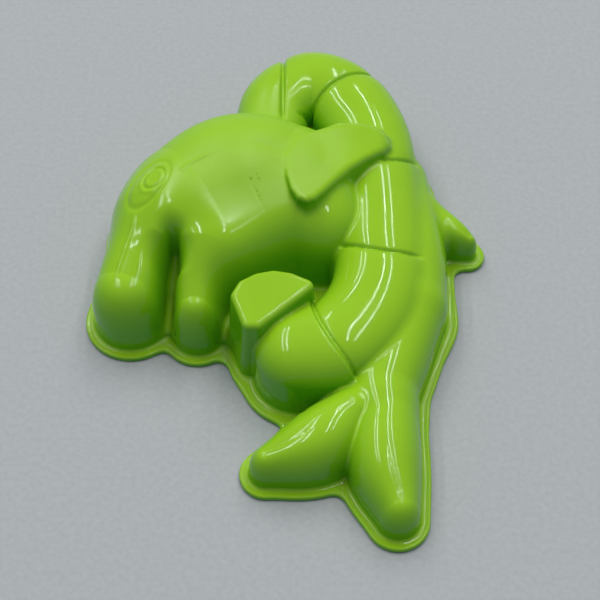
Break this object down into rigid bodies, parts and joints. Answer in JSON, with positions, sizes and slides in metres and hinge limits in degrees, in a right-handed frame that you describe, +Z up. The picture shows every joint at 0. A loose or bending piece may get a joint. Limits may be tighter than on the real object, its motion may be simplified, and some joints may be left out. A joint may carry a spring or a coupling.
{
  "type": "dolphin soap mould",
  "caption": "Hollow relief mould in glossy green plastic: a dolphin swims through a life ring; soap or wax is cast in its open underside.",
  "frame": {"origin": "middle of the rim's outline, on the ground plane under the rim", "axes": "+Z up through the relief, +Y from the tail flukes to the top of the life ring, +X from the beak to the back fin"},
  "size_m": [0.087, 0.1242, 0.028],
  "materials": {
    "green_plastic": "glossy, slightly wavy moulded surface"
  },
  "bodies": {
    "root": {"rim_flange": "green_plastic", "head_dome": "green_plastic", "eye": "green_plastic", "upper_beak": "green_plastic", "lower_jaw": "green_plastic", "chest": "green_plastic", "upper_flipper": "green_plastic", "lower_flipper": "green_plastic", "back": "green_plastic", "tail_stock": "green_plastic", "dorsal_fin": "green_plastic", "right_fluke": "green_plastic", "left_fluke": "green_plastic", "crease_web": "green_plastic", "ring_cushion_1": "green_plastic", "ring_cushion_2": "green_plastic", "ring_cushion_3": "green_plastic", "ring_cushion_4": "green_plastic", "ring_cushion_5": "green_plastic", "ring_cushion_6": "green_plastic"}
  },
  "joints": []
}
